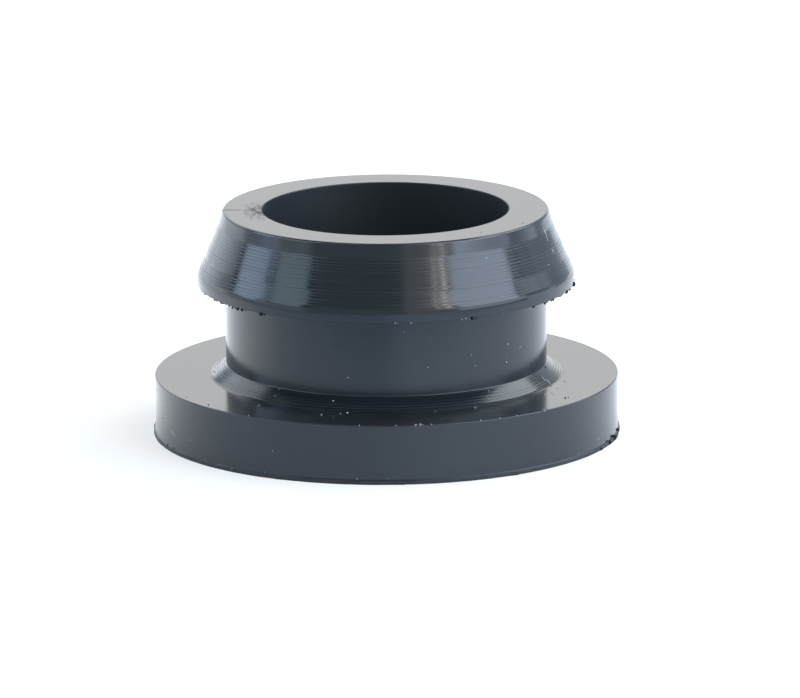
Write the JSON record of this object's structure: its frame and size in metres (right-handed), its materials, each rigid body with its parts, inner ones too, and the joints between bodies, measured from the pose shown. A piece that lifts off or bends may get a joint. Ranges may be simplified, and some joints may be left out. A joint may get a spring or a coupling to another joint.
{
  "type": "rubber gasket",
  "caption": "Push-in rubber gasket: round flange, grooved neck and barbed head, with a straight bore that seals round a tube through a thin wall.",
  "frame": {"origin": "middle of the flange's flat seat, on the bore's axis", "axes": "+Z along the bore, from the flange's seat to the head; the part is round about Z, so X and Y are free"},
  "size_m": [0.036, 0.036, 0.0175],
  "materials": {
    "rubber": "black moulded rubber, semi-gloss with fine circular mould-turning lines, ragged flash on the barb and the base, dust specks"
  },
  "bodies": {
    "root": {"gasket": "rubber"}
  },
  "joints": []
}
